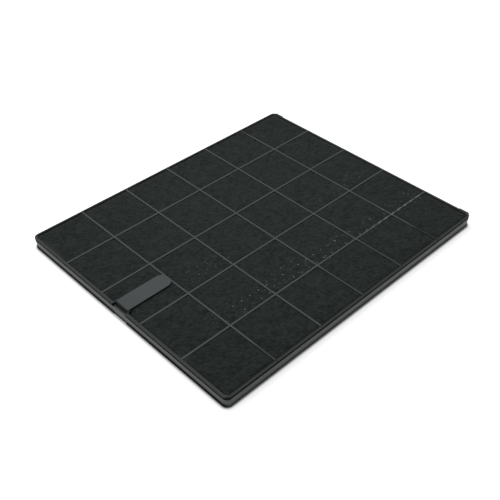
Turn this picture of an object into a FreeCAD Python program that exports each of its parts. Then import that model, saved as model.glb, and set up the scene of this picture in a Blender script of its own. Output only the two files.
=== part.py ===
import FreeCAD, Part

# Cooker hood carbon filter: a flat cassette that lies in the hood's inlet.
# A tray and a cover, both with a grid of square openings, clamp two sheets of non-woven.
# A lattice between the sheets makes chambers, and each chamber holds a charge of carbon granules.
# A pull tab is hinged in a notch at the middle of one short edge and lies folded on the top face.
# The origin is the middle of the underside, X runs along the long side and the tab is at minus X.

import math
import os

import Sketcher
from FreeCAD import Placement, Rotation, Vector

# Driving dimensions, in millimetres and degrees
DRIVING = {
    "columns": 6,
    "rows": 5,
    "cell_width": 44.6,
    "end_margin": 1.2,
    "side_margin": 1.0,
    "total_height": 10.4,
    "corner_radius": 4.5,
    "rib_width": 1.5,
    "rim_width": 2.0,
    "flange_thickness": 0.9,
    "flange_edge_bevel": 0.25,
    "groove_height": 1.3,
    "groove_depth": 1.3,
    "fleece_pinched": 0.4,
    "lip_thickness": 1.8,
    "lip_bevel": 0.3,
    "wall_recess": 0.6,
    "floor_thickness": 1.6,
    "ledge_width": 3.6,
    "lattice_clearance": 0.2,
    "divider_thickness": 1.2,
    "post_diameter": 4.0,
    "peg_diameter": 2.0,
    "peg_length": 2.6,
    "peg_clearance": 0.05,
    "pad_margin": 0.15,
    "pad_slope": 0.6,
    "puff_gap": 0.25,
    "hinge_relief": 0.6,
    "charge_clearance": 0.1,
    "charge_headspace": 0.3,
    "charge_corner_bevel": 3.0,
    "lip_notch_width": 14.8,
    "tab_width": 14.2,
    "tab_thickness": 1.3,
    "tab_tip_flat": 2.2,
    "tab_edge_radius": 0.3,
    "tab_rest_overlap": 0.5,
    "barrel_radius": 1.45,
    "barrel_gap": 0.6,
    "journal_radius": 0.6,
    "journal_clearance": 0.05,
    "ear_thickness": 1.1,
    "ear_radius": 1.1,
    "ear_gap": 0.15,
    "ear_root": 0.65,
    "nib_length": 9.0,
    "nib_depth": 0.9,
    "nib_inset": 7.2,
    "nib_corner_radius": 0.6,
}

# Two places closer than this are the same place
TOUCHING = 1e-4

doc = FreeCAD.newDocument("carbon_filter")
sheet = doc.addObject("Spreadsheet::Sheet", "Sizes")
for line, (name, value) in enumerate(DRIVING.items(), start=1):
    sheet.set(f"A{line}", name)
    sheet.set(f"B{line}", str(value))
    sheet.setAlias(f"B{line}", name)
doc.recompute()


class Size:
    """A length that carries both its value and the sheet formula that it comes from."""

    def __init__(self, value, formula):
        self.value = value
        self.formula = formula

    def joined(self, sign, other, value, swapped=False):
        left = self.formula
        right = other.formula if isinstance(other, Size) else repr(float(other))
        if swapped:
            left, right = right, left
        return Size(value, f"({left} {sign} {right})")

    def __add__(self, other):
        return self.joined("+", other, self.value + plain(other))

    def __sub__(self, other):
        return self.joined("-", other, self.value - plain(other))

    def __rsub__(self, other):
        return self.joined("-", other, plain(other) - self.value, swapped=True)

    def __mul__(self, other):
        return self.joined("*", other, self.value * plain(other))

    def __truediv__(self, other):
        return self.joined("/", other, self.value / plain(other))

    def __neg__(self):
        return Size(-self.value, f"(0 - {self.formula})")

    __radd__ = __add__
    __rmul__ = __mul__


def plain(size):
    """The value of a size, or of a bare number."""
    return size.value if isinstance(size, Size) else size


def smaller(first, second):
    """The smaller of two sizes, whichever it is after a change."""
    return Size(min(first.value, second.value), f"min({first.formula}; {second.formula})")


def driving(name):
    """A driving dimension, read back from the sheet."""
    return Size(float(sheet.get(name)), f"Sizes.{name}")


columns = driving("columns")
rows = driving("rows")
total_height = driving("total_height")
corner_radius = driving("corner_radius")
cell_width = driving("cell_width")
rib_width = driving("rib_width")
rim_width = driving("rim_width")
groove_depth = driving("groove_depth")
fleece_pinched = driving("fleece_pinched")
lip_thickness = driving("lip_thickness")
wall_recess = driving("wall_recess")
floor_thickness = driving("floor_thickness")
ledge_width = driving("ledge_width")
divider_thickness = driving("divider_thickness")
peg_diameter = driving("peg_diameter")
peg_length = driving("peg_length")
peg_clearance = driving("peg_clearance")
barrel_radius = driving("barrel_radius")
tab_thickness = driving("tab_thickness")
column_count = int(columns.value)
row_count = int(rows.value)

# Levels, from the table up
flange_bottom = total_height - driving("flange_thickness")
tray_top = flange_bottom - driving("groove_height")
cover_bottom = tray_top + fleece_pinched
lattice_bottom = floor_thickness + fleece_pinched

# Half sizes in plan
half_length = columns * cell_width / 2 + driving("end_margin")
half_width = rows * cell_width / 2 + driving("side_margin")
rim_inner_x = half_length - rim_width
rim_inner_y = half_width - rim_width
lattice_outer_x = rim_inner_x - driving("lattice_clearance")
lattice_outer_y = rim_inner_y - driving("lattice_clearance")
chamber_end_x = lattice_outer_x - divider_thickness
chamber_end_y = lattice_outer_y - divider_thickness

# The tab's hinge, just inside the rim and just above the ribs
hinge_x = -(rim_inner_x - driving("barrel_gap") - barrel_radius)
hinge_z = total_height + tab_thickness - barrel_radius
ear_inner_y = driving("tab_width") / 2 + driving("ear_gap")
ear_outer_y = ear_inner_y + driving("ear_thickness")
half_notch = ear_outer_y - driving("ear_root")


def rib_line(count, index):
    """Where rib number index of a grid with count cells lies, from the middle."""
    return (index - count / 2) * cell_width


def cell_centre(count, index):
    """Where the middle of cell number index lies, with cell 0 at the negative end."""
    return (index + 0.5 - count / 2) * cell_width


def bind(thing, setting, size):
    """Tie one property of a feature to the sheet."""
    thing.setExpression(setting, size.formula)


def new_body(label):
    body = doc.addObject("PartDesign::Body", label)
    body.Label = label
    return body


def origin_feature(body, role):
    """An origin plane or axis of a body."""
    return next(item for item in body.Origin.OriginFeatures if item.Role == role)


def new_sketch(body, name, level, role="XY_Plane"):
    """A sketch on an origin plane, moved along the plane's normal to the level."""
    sketch = body.newObject("Sketcher::SketchObject", name)
    sketch.AttachmentSupport = (origin_feature(body, role), [""])
    sketch.MapMode = "FlatFace"
    sketch.AttachmentOffset = Placement(Vector(0, 0, plain(level)), Rotation())
    if isinstance(level, Size):
        bind(sketch, ".AttachmentOffset.Base.z", level)
    return sketch


def dimension(sketch, kind, name, size, *points):
    """A named dimension in a sketch, tied to the sheet."""
    number = sketch.addConstraint(Sketcher.Constraint(kind, *points, size.value))
    sketch.renameConstraint(number, name)
    bind(sketch, f"Constraints.{name}", size)


def add_polygon(sketch, corners):
    """A closed outline of straight lines. Returns the number of its first line."""
    first = sketch.GeometryCount
    count = len(corners)
    for start, end in zip(corners, corners[1:] + corners[:1]):
        sketch.addGeometry(Part.LineSegment(Vector(*start, 0), Vector(*end, 0)), False)
    for side in range(count):
        following = first + (side + 1) % count
        sketch.addConstraint(Sketcher.Constraint("Coincident", first + side, 2, following, 1))
    return first


def add_rectangle(sketch, tag, left, bottom, right, top):
    """A rectangle between four lines that are measured from the origin."""
    corners = [(left.value, bottom.value), (right.value, bottom.value),
               (right.value, top.value), (left.value, top.value)]
    first = add_polygon(sketch, corners)
    for side in (0, 2):
        sketch.addConstraint(Sketcher.Constraint("Horizontal", first + side))
    for side in (1, 3):
        sketch.addConstraint(Sketcher.Constraint("Vertical", first + side))
    dimension(sketch, "DistanceX", tag + "_left", left, -1, 1, first, 1)
    dimension(sketch, "DistanceY", tag + "_bottom", bottom, -1, 1, first, 1)
    dimension(sketch, "DistanceX", tag + "_right", right, -1, 1, first + 1, 2)
    dimension(sketch, "DistanceY", tag + "_top", top, -1, 1, first + 1, 2)


def add_rounded_rectangle(sketch, half_x, half_y, radius):
    """A rectangle round the origin, with four equal corner arcs."""
    x, y, r = half_x.value, half_y.value, radius.value
    centres = [(x - r, r - y), (x - r, y - r), (r - x, y - r), (r - x, r - y)]
    lines = [((r - x, -y), (x - r, -y)), ((x, r - y), (x, y - r)),
             ((x - r, y), (r - x, y)), ((-x, y - r), (-x, r - y))]
    for side in range(4):
        start, end = lines[side]
        sketch.addGeometry(Part.LineSegment(Vector(*start, 0), Vector(*end, 0)), False)
        circle = Part.Circle(Vector(*centres[side], 0), Vector(0, 0, 1), r)
        turn = (side - 1) * math.pi / 2
        sketch.addGeometry(Part.ArcOfCircle(circle, turn, turn + math.pi / 2), False)
    for side in range(4):
        line, arc = 2 * side, 2 * side + 1
        following = (line + 2) % 8
        sketch.addConstraint(Sketcher.Constraint("Tangent", line, 2, arc, 1))
        sketch.addConstraint(Sketcher.Constraint("Tangent", arc, 2, following, 1))
        sketch.addConstraint(Sketcher.Constraint("Horizontal" if side % 2 == 0 else "Vertical", line))
    for arc in (3, 5, 7):
        sketch.addConstraint(Sketcher.Constraint("Equal", 1, arc))
    dimension(sketch, "Radius", "corner", radius, 1)
    dimension(sketch, "DistanceX", "right", half_x, -1, 1, 2, 1)
    dimension(sketch, "DistanceX", "left", -half_x, -1, 1, 6, 1)
    dimension(sketch, "DistanceY", "top", half_y, -1, 1, 4, 1)
    dimension(sketch, "DistanceY", "bottom", -half_y, -1, 1, 0, 1)


def add_circle(sketch, tag, x, y, radius):
    number = sketch.GeometryCount
    circle = Part.Circle(Vector(plain(x), plain(y), 0), Vector(0, 0, 1), radius.value)
    sketch.addGeometry(circle, False)
    dimension(sketch, "Radius", tag + "_radius", radius, number)
    dimension(sketch, "DistanceX", tag + "_x", x, -1, 1, number, 3)
    dimension(sketch, "DistanceY", tag + "_y", y, -1, 1, number, 3)


def pad(body, sketch, name, length, reverse=False, middle=False):
    feature = body.newObject("PartDesign::Pad", name)
    feature.Profile = sketch
    feature.Reversed = reverse
    feature.SideType = "Symmetric" if middle else "One side"
    feature.Length = length.value
    bind(feature, "Length", length)
    return feature


def pocket(body, sketch, name, length, reverse=False, middle=False):
    """A cut that runs down from its sketch, or up where it is reversed."""
    doc.recompute()
    before = body.Shape.Volume
    feature = body.newObject("PartDesign::Pocket", name)
    feature.Profile = sketch
    feature.Reversed = reverse
    feature.SideType = "Symmetric" if middle else "One side"
    feature.Length = length.value
    bind(feature, "Length", length)
    doc.recompute()
    if body.Shape.Volume >= before:
        raise RuntimeError(f"{body.Label}: {name} cuts nothing")
    return feature


def repeat(body, feature, name, count_x=None, count_y=None, step_x=None, step_y=None):
    """Copies of a feature at equal steps along X, along Y, or over a field of both."""
    pattern = body.newObject("PartDesign::LinearPattern", name)
    pattern.Originals = [feature]
    if count_x is not None:
        pattern.Direction = (origin_feature(body, "X_Axis"), [""])
        count, step = count_x, step_x
    else:
        pattern.Direction = (origin_feature(body, "Y_Axis"), [""])
        count, step = count_y, step_y
    pattern.Mode = "Spacing"
    pattern.Offset = step.value
    bind(pattern, "Offset", step)
    pattern.Occurrences = int(count.value)
    bind(pattern, "Occurrences", count)
    if count_x is not None and count_y is not None:
        pattern.Direction2 = (origin_feature(body, "Y_Axis"), [""])
        pattern.Mode2 = "Spacing"
        pattern.Offset2 = step_y.value
        bind(pattern, "Offset2", step_y)
        pattern.Occurrences2 = int(count_y.value)
        bind(pattern, "Occurrences2", count_y)
    body.Tip = pattern
    return pattern


def round_edges(body, name, kind, size, wanted):
    """A fillet or chamfer on the edges of the body that the test picks."""
    doc.recompute()
    base = body.Tip
    picked = [f"Edge{n}" for n, edge in enumerate(base.Shape.Edges, start=1) if wanted(edge)]
    feature = body.newObject("PartDesign::" + kind, name)
    feature.Base = (base, picked)
    setting = "Radius" if kind == "Fillet" else "Size"
    setattr(feature, setting, size.value)
    bind(feature, setting, size)
    doc.recompute()
    return feature


def lies_flat(edge, level):
    """Whether an edge lies flat at a level."""
    box = edge.BoundBox
    return abs(box.ZMin - plain(level)) < TOUCHING and abs(box.ZMax - plain(level)) < TOUCHING


def stands_upright(edge, reach_x):
    """Whether an edge stands upright at this distance along X."""
    box = edge.BoundBox
    return box.XLength + box.YLength < TOUCHING and abs(box.XMax - plain(reach_x)) < TOUCHING


def add_grid(body, level, height, width, reach_x, reach_y):
    """Bars at every grid line, running from rim to rim both ways."""
    across = new_sketch(body, body.Label + "_across", level)
    first_x = rib_line(columns, 1)
    add_rectangle(across, "bar", first_x - width / 2, -reach_y, first_x + width / 2, reach_y)
    bar = pad(body, across, body.Label + "_bar_across", height)
    repeat(body, bar, body.Label + "_bars_across", count_x=columns - 1, step_x=cell_width)
    along = new_sketch(body, body.Label + "_along", level)
    first_y = rib_line(rows, 1)
    add_rectangle(along, "bar", -reach_x, first_y - width / 2, reach_x, first_y + width / 2)
    bar = pad(body, along, body.Label + "_bar_along", height)
    repeat(body, bar, body.Label + "_bars_along", count_y=rows - 1, step_y=cell_width)


def peg_places():
    """The grid crossings that the pegs go through: every second column, first and last row."""
    return [(rib_line(columns, column), rib_line(rows, row))
            for column in range(1, column_count, 2) for row in (1, row_count - 1)]


def add_pegs(body, level, radius, length, name, reverse=False):
    sketch = new_sketch(body, name + "_plan", level)
    for number, (x, y) in enumerate(peg_places()):
        add_circle(sketch, f"peg{number}", x, y, radius)
    return pad(body, sketch, name, length, reverse=reverse)


def cut_peg_holes(body, level, radius, length, name):
    sketch = new_sketch(body, name + "_plan", level)
    for number, (x, y) in enumerate(peg_places()):
        add_circle(sketch, f"hole{number}", x, y, radius)
    return pocket(body, sketch, name, length)


def make_cover_grille():
    """The cover: rim flange, skirt that stands on the fleece, rib grid, hinge ears, nibs and pegs."""
    body = new_body("cover_grille")
    plan = new_sketch(body, "flange_plan", flange_bottom)
    add_rounded_rectangle(plan, half_length, half_width, corner_radius)
    pad(body, plan, "flange", driving("flange_thickness"))
    round_edges(body, "flange_edge", "Chamfer", driving("flange_edge_bevel"),
                lambda edge: lies_flat(edge, total_height))
    plan = new_sketch(body, "skirt_plan", flange_bottom)
    add_rounded_rectangle(plan, half_length - groove_depth, half_width - groove_depth,
                          corner_radius - groove_depth)
    pad(body, plan, "skirt", flange_bottom - cover_bottom, reverse=True)
    plan = new_sketch(body, "window_plan", total_height)
    add_rounded_rectangle(plan, rim_inner_x, rim_inner_y, corner_radius - rim_width)
    pocket(body, plan, "window", total_height - cover_bottom)
    root = (rim_width - groove_depth) / 2
    add_grid(body, cover_bottom, total_height - cover_bottom, rib_width,
             rim_inner_x + root, rim_inner_y + root)

    plan = new_sketch(body, "notch_plan", total_height)
    add_rectangle(plan, "notch", -(half_length + rim_width), -half_notch, -rim_inner_x, half_notch)
    pocket(body, plan, "notch", total_height - cover_bottom)
    add_hinge_ears(body)
    add_nibs(body)
    add_pegs(body, cover_bottom, peg_diameter / 2, peg_length, "cover_pegs", reverse=True)
    return body


def add_hinge_ears(body):
    """Two ears at the notch, rounded over the hinge axis and bored for the tab's journals."""
    ear_radius = driving("ear_radius")
    for side, start in (("near", ear_outer_y), ("far", -ear_inner_y)):
        profile = new_sketch(body, f"ear_{side}_profile", start, role="XZ_Plane")
        back, front = -rim_inner_x, hinge_x + ear_radius
        corners = [(back.value, cover_bottom.value), (front.value, cover_bottom.value),
                   (front.value, hinge_z.value), ((hinge_x - ear_radius).value, hinge_z.value),
                   (back.value, total_height.value)]
        for begin, finish in zip(corners[:2] + corners[3:], corners[1:3] + corners[4:] + corners[:1]):
            profile.addGeometry(Part.LineSegment(Vector(*begin, 0), Vector(*finish, 0)), False)
        circle = Part.Circle(Vector(hinge_x.value, hinge_z.value, 0), Vector(0, 0, 1), ear_radius.value)
        profile.addGeometry(Part.ArcOfCircle(circle, 0, math.pi), False)
        for first, second in ((0, 1), (2, 3), (3, 0)):
            profile.addConstraint(Sketcher.Constraint("Coincident", first, 2, second, 1))
        profile.addConstraint(Sketcher.Constraint("Tangent", 1, 2, 4, 1))
        profile.addConstraint(Sketcher.Constraint("Coincident", 4, 2, 2, 1))
        profile.addConstraint(Sketcher.Constraint("Horizontal", 0))
        profile.addConstraint(Sketcher.Constraint("Vertical", 1))
        profile.addConstraint(Sketcher.Constraint("Vertical", 3))
        dimension(profile, "DistanceX", "back", back, -1, 1, 0, 1)
        dimension(profile, "DistanceY", "foot", cover_bottom, -1, 1, 0, 1)
        dimension(profile, "DistanceX", "axis_x", hinge_x, -1, 1, 4, 3)
        dimension(profile, "DistanceY", "axis_z", hinge_z, -1, 1, 4, 3)
        dimension(profile, "Radius", "round", ear_radius, 4)
        dimension(profile, "DistanceY", "round_end", hinge_z, -1, 1, 4, 2)
        dimension(profile, "DistanceY", "shoulder", total_height, -1, 1, 3, 1)
        pad(body, profile, f"ear_{side}", driving("ear_thickness"), reverse=True)
    bore = new_sketch(body, "journal_bore_plan", 0, role="XZ_Plane")
    add_circle(bore, "bore", hinge_x, hinge_z, driving("journal_radius") + driving("journal_clearance"))
    pocket(body, bore, "journal_bores", 2 * ear_outer_y + rim_width, middle=True)


def add_nibs(body):
    """Two small nibs on the short edge across from the tab, that hook under the hood's frame."""
    length, inset = driving("nib_length"), driving("nib_inset")
    plan = new_sketch(body, "nib_plan", flange_bottom)
    left = half_length - rim_width / 2
    right = half_length + driving("nib_depth")
    for side, centre in (("near", inset - half_width), ("far", half_width - inset)):
        add_rectangle(plan, side, left, centre - length / 2, right, centre + length / 2)
    pad(body, plan, "nibs", driving("flange_thickness") - driving("flange_edge_bevel"))
    round_edges(body, "nib_corners", "Fillet", driving("nib_corner_radius"),
                lambda edge: stands_upright(edge, right))


def make_base_tray():
    """The tray: bottom lip, leaning side wall, ledge and grid under the fleece, and pegs."""
    body = new_body("base_tray")
    plan = new_sketch(body, "lip_plan", 0)
    add_rounded_rectangle(plan, half_length, half_width, corner_radius)
    pad(body, plan, "lip", lip_thickness)
    round_edges(body, "lip_bevel", "Chamfer", driving("lip_bevel"), lambda edge: lies_flat(edge, 0))
    foot = new_sketch(body, "wall_foot", lip_thickness)
    add_rounded_rectangle(foot, half_length - wall_recess, half_width - wall_recess,
                          corner_radius - wall_recess)
    head = new_sketch(body, "wall_head", tray_top)
    add_rounded_rectangle(head, half_length, half_width, corner_radius)
    wall = body.newObject("PartDesign::AdditiveLoft", "wall")
    wall.Profile = foot
    wall.Sections = [head]
    wall.Ruled = True
    plan = new_sketch(body, "hollow_plan", tray_top)
    add_rounded_rectangle(plan, rim_inner_x, rim_inner_y, corner_radius - rim_width)
    pocket(body, plan, "hollow", tray_top - floor_thickness)
    plan = new_sketch(body, "floor_window_plan", floor_thickness)
    add_rounded_rectangle(plan, half_length - ledge_width, half_width - ledge_width,
                          corner_radius - rim_width)
    pocket(body, plan, "floor_window", floor_thickness)
    root = (ledge_width - rim_width) / 2
    add_grid(body, 0, floor_thickness, rib_width, rim_inner_x - root, rim_inner_y - root)
    half_lip_notch = driving("lip_notch_width") / 2
    plan = new_sketch(body, "lip_notch_plan", lip_thickness)
    add_rectangle(plan, "notch", -(half_length + rim_width), -half_lip_notch,
                  wall_recess - half_length, half_lip_notch)
    pocket(body, plan, "lip_notch", lip_thickness)
    add_pegs(body, floor_thickness, peg_diameter / 2, peg_length, "tray_pegs")
    return body


def make_chamber_lattice():
    """The egg-crate insert: a frame inside the tray's wall, dividers, and bored posts for the pegs."""
    body = new_body("chamber_lattice")
    height = tray_top - lattice_bottom
    inner_radius = corner_radius - rim_width
    plan = new_sketch(body, "lattice_outline", lattice_bottom)
    add_rounded_rectangle(plan, lattice_outer_x, lattice_outer_y, inner_radius)
    pad(body, plan, "lattice_block", height)
    plan = new_sketch(body, "lattice_window", tray_top)
    add_rounded_rectangle(plan, chamber_end_x, chamber_end_y, inner_radius)
    pocket(body, plan, "lattice_hollow", height)
    add_grid(body, lattice_bottom, height, divider_thickness,
             chamber_end_x + divider_thickness / 2, chamber_end_y + divider_thickness / 2)
    add_pegs(body, lattice_bottom, driving("post_diameter") / 2, height, "posts")
    cut_peg_holes(body, tray_top, peg_diameter / 2 + peg_clearance, height, "post_bores")
    return body


def add_puffs(body, level, half_x, half_y, height, reverse=False):
    """A soft pad in every cell of a fleece sheet, its sides sloping in from the ribs."""
    margin = driving("pad_margin")
    rib_gap = (cell_width - rib_width) / 2
    x, y = cell_centre(columns, 0), cell_centre(rows, 0)
    reach_x = smaller(half_x + x, rib_gap) - margin
    reach_y = smaller(half_y + y, rib_gap) - margin
    plan = new_sketch(body, body.Label + "_pad_plan", level)
    add_rectangle(plan, "cell", x - reach_x, y - reach_y, x + reach_x, y + reach_y)
    puff = pad(body, plan, body.Label + "_pad", height, reverse=reverse)
    lean = driving("pad_slope")
    slope = Size(-math.degrees(math.atan(lean.value / height.value)),
                 f"(-1 * atan({lean.formula} / {height.formula}))")
    puff.TaperAngle = slope.value
    bind(puff, "TaperAngle", slope)
    repeat(body, puff, body.Label + "_pads", count_x=columns, count_y=rows,
           step_x=cell_width, step_y=cell_width)
    trim = new_sketch(body, body.Label + "_corner_plan", level)
    add_rounded_rectangle(trim, half_x - margin / 2, half_y - margin / 2, corner_radius - rim_width)
    add_rectangle(trim, "around", -half_length, -half_width, half_length, half_width)
    pocket(body, trim, body.Label + "_corners", height, reverse=not reverse)


def make_upper_fleece():
    """The sheet under the cover, clamped at the rim and ribs, and cut low under the hinge."""
    body = new_body("upper_fleece")
    plan = new_sketch(body, "upper_sheet_plan", tray_top)
    add_rounded_rectangle(plan, half_length - groove_depth, half_width - groove_depth,
                          corner_radius - groove_depth)
    pad(body, plan, "upper_sheet", fleece_pinched)
    height = total_height - driving("puff_gap") - cover_bottom
    add_puffs(body, cover_bottom, rim_inner_x, rim_inner_y, height)
    relief = new_sketch(body, "hinge_relief_plan", cover_bottom)
    room = driving("hinge_relief")
    add_rectangle(relief, "relief", -rim_inner_x, -(ear_outer_y + room),
                  hinge_x + driving("ear_radius") + room, ear_outer_y + room)
    pocket(body, relief, "hinge_relief", height, reverse=True)
    notch = new_sketch(body, "sheet_notch_plan", cover_bottom)
    add_rectangle(notch, "notch", -half_length, -half_notch, -rim_inner_x, half_notch)
    pocket(body, notch, "sheet_notch", fleece_pinched)
    cut_peg_holes(body, cover_bottom, peg_diameter / 2 + peg_clearance, fleece_pinched, "upper_holes")
    return body


def make_lower_fleece():
    """The sheet on the tray's ledge and grid, puffed down between the ribs but clear of the table."""
    body = new_body("lower_fleece")
    plan = new_sketch(body, "lower_sheet_plan", floor_thickness)
    add_rounded_rectangle(plan, lattice_outer_x, lattice_outer_y, corner_radius - rim_width)
    pad(body, plan, "lower_sheet", fleece_pinched)
    add_puffs(body, floor_thickness, half_length - ledge_width, half_width - ledge_width,
              floor_thickness - driving("puff_gap"), reverse=True)
    cut_peg_holes(body, lattice_bottom, peg_diameter / 2 + peg_clearance, fleece_pinched, "lower_holes")
    return body


def make_pull_tab():
    """The tab: a flat tongue with a rounded tip, a barrel at its root and two journals."""
    body = new_body("pull_tab")
    half = driving("tab_width") / 2
    tip_radius = (driving("tab_width") - driving("tab_tip_flat")) / 2
    tip = rib_line(columns, 1) - rib_width / 2 + driving("tab_rest_overlap")
    plan = new_sketch(body, "tongue_plan", total_height)
    x0, x1, y, r = hinge_x.value, tip.value, half.value, tip_radius.value
    lines = [((x0, -y), (x1 - r, -y)), ((x1, r - y), (x1, y - r)),
             ((x1 - r, y), (x0, y)), ((x0, y), (x0, -y))]
    for begin, finish in lines:
        plan.addGeometry(Part.LineSegment(Vector(*begin, 0), Vector(*finish, 0)), False)
    for centre_y, turn in ((r - y, -math.pi / 2), (y - r, 0)):
        circle = Part.Circle(Vector(x1 - r, centre_y, 0), Vector(0, 0, 1), r)
        plan.addGeometry(Part.ArcOfCircle(circle, turn, turn + math.pi / 2), False)
    for first, second in ((0, 4), (1, 5)):
        plan.addConstraint(Sketcher.Constraint("Tangent", first, 2, second, 1))
        plan.addConstraint(Sketcher.Constraint("Tangent", second, 2, first + 1, 1))
    plan.addConstraint(Sketcher.Constraint("Coincident", 2, 2, 3, 1))
    plan.addConstraint(Sketcher.Constraint("Coincident", 3, 2, 0, 1))
    plan.addConstraint(Sketcher.Constraint("Horizontal", 0))
    plan.addConstraint(Sketcher.Constraint("Vertical", 1))
    plan.addConstraint(Sketcher.Constraint("Horizontal", 2))
    plan.addConstraint(Sketcher.Constraint("Vertical", 3))
    plan.addConstraint(Sketcher.Constraint("Equal", 4, 5))
    dimension(plan, "Radius", "tip_corner", tip_radius, 4)
    dimension(plan, "DistanceX", "root", hinge_x, -1, 1, 0, 1)
    dimension(plan, "DistanceX", "tip", tip, -1, 1, 1, 1)
    dimension(plan, "DistanceY", "near", -half, -1, 1, 0, 1)
    dimension(plan, "DistanceY", "far", half, -1, 1, 3, 1)
    pad(body, plan, "tongue", tab_thickness)
    round_edges(body, "tongue_edge", "Fillet", driving("tab_edge_radius"),
                lambda edge: lies_flat(edge, total_height + tab_thickness)
                and edge.BoundBox.XMax > hinge_x.value + TOUCHING)
    profile = new_sketch(body, "barrel_profile", 0, role="XZ_Plane")
    add_circle(profile, "barrel", hinge_x, hinge_z, barrel_radius)
    pad(body, profile, "barrel", driving("tab_width"), middle=True)
    profile = new_sketch(body, "journal_profile", 0, role="XZ_Plane")
    add_circle(profile, "journal", hinge_x, hinge_z, driving("journal_radius"))
    pad(body, profile, "journals", 2 * ear_outer_y - 2 * driving("journal_clearance"), middle=True)
    return body


def chamber_span(count, index, end):
    """The clear span of one chamber between its two dividers, or the lattice's frame at an end."""
    low = -end if index == 0 else rib_line(count, index) + divider_thickness / 2
    high = end if index == int(count.value) - 1 else rib_line(count, index + 1) - divider_thickness / 2
    return low + driving("charge_clearance"), high - driving("charge_clearance")


def make_carbon_charge(column, row):
    """The granules of one chamber, as one block with cut corners that rests on the lower fleece."""
    name = f"carbon_charge_{chr(ord('a') + column)}{row + 1}"
    left, right = chamber_span(columns, column, chamber_end_x)
    near, far = chamber_span(rows, row, chamber_end_y)
    block = doc.addObject("Part::Box", name + "_block")
    for setting, size in (("Length", right - left), ("Width", far - near),
                          ("Height", tray_top - lattice_bottom - driving("charge_headspace")),
                          (".Placement.Base.x", left), (".Placement.Base.y", near),
                          (".Placement.Base.z", lattice_bottom)):
        bind(block, setting, size)
    charge = doc.addObject("Part::Chamfer", name)
    charge.Base = block
    bevel = driving("charge_corner_bevel").value
    doc.recompute([block])
    upright = [number for number, edge in enumerate(block.Shape.Edges, start=1)
               if edge.BoundBox.XLength + edge.BoundBox.YLength < TOUCHING]
    charge.Edges = [(number, bevel, bevel) for number in upright]
    charge.Label = name
    return charge


pieces = [make_cover_grille(), make_base_tray(), make_chamber_lattice(),
          make_upper_fleece(), make_lower_fleece(), make_pull_tab()]
for column in range(column_count):
    for row in range(row_count):
        pieces.append(make_carbon_charge(column, row))
doc.recompute()

for item in doc.Objects:
    if "Invalid" in item.State or "Error" in item.State:
        raise RuntimeError(f"{item.Label} failed: {item.State}")
os.makedirs("parts", exist_ok=True)
for piece in pieces:
    shape = piece.Shape
    if shape.isNull() or not shape.isValid():
        raise RuntimeError(f"{piece.Label} has no valid shape")
    box = shape.BoundBox
    print(f"{piece.Label}: {len(shape.Solids)} solid, {shape.Volume / 1000:.2f} cm3, "
          f"x {box.XMin:.2f} to {box.XMax:.2f}, y {box.YMin:.2f} to {box.YMax:.2f}, "
          f"z {box.ZMin:.2f} to {box.ZMax:.2f}")
    shape.exportStep(f"parts/{piece.Label}.step")
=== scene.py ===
# %% [markdown]
# # A carbon filter for a cooker hood
#
# The object is a flat cassette, 270 by 225 mm and 10 mm thick. A black moulded cover and a black
# moulded tray clamp two sheets of non-woven between them, and a grey pull tab lies folded on top.
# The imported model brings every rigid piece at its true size, so this lesson only dresses it: it
# finishes the plastic, makes the two fleece sheets as soft goods, and sets up the studio.

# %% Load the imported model
import math
import random

import bpy
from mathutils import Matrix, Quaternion, Vector, noise


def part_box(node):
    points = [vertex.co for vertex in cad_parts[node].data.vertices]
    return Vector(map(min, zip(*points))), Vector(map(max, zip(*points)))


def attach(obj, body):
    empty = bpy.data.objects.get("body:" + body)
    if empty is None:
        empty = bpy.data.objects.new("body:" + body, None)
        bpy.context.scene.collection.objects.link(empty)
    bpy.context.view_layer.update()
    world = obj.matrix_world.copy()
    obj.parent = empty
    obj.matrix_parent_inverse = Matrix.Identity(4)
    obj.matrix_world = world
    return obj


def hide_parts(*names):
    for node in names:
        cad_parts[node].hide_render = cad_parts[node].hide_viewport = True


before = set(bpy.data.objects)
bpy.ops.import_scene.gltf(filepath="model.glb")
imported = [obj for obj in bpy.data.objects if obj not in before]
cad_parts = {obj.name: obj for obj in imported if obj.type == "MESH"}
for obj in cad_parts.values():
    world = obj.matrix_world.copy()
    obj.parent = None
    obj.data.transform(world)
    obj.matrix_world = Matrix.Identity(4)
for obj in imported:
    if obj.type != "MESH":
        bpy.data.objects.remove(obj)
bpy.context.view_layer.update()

MM = 0.001

# %% [markdown]
# ## The grid, read back from the solids
#
# The fleece has to puff up between the ribs and nowhere else, so the grid's few sizes are needed
# here too. They are the real sizes of the cassette, and the outline comes from the solids' boxes.

# %% Sizes of the cassette
COLUMNS = 6
ROWS = 5
CELL = 44.6 * MM
RIB = 1.5 * MM
RIM = 2.0 * MM
CORNER = 4.5 * MM
PINCHED = 0.4 * MM
tray_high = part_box("base_tray")[1]
HALF_LENGTH = tray_high.x
HALF_WIDTH = tray_high.y
upper_low, upper_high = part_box("upper_fleece")
lower_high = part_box("lower_fleece")[1]
random.seed(7)


def rib_places(count):
    """Where the ribs of a grid with this many cells lie, the two ends of the grid included."""
    return [(line - count / 2) * CELL for line in range(count + 1)]


print("ribs across at mm:", [round(x / MM, 1) for x in rib_places(COLUMNS)])
print("ribs along at mm:", [round(y / MM, 1) for y in rib_places(ROWS)])

# %% [markdown]
# ## The camera
#
# The photograph looks down on one corner of the cassette, from its left and front. The place, the
# point aimed at and the lens were worked out from where the grid's crossings lie in the picture, so
# the camera is set by those values. The photograph is also turned by a third of a degree, which a
# roll about the view line gives back.

# %% Camera
CAMERA_PLACE = Vector((-0.33533, -0.34403, 0.39652))
CAMERA_AIM = Vector((-0.02404, -0.01890, 0.0104))
CAMERA_ROLL = math.radians(-0.337)
LENS_MM = 55.55
NEAREST_SEEN = 10 * MM

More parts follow.
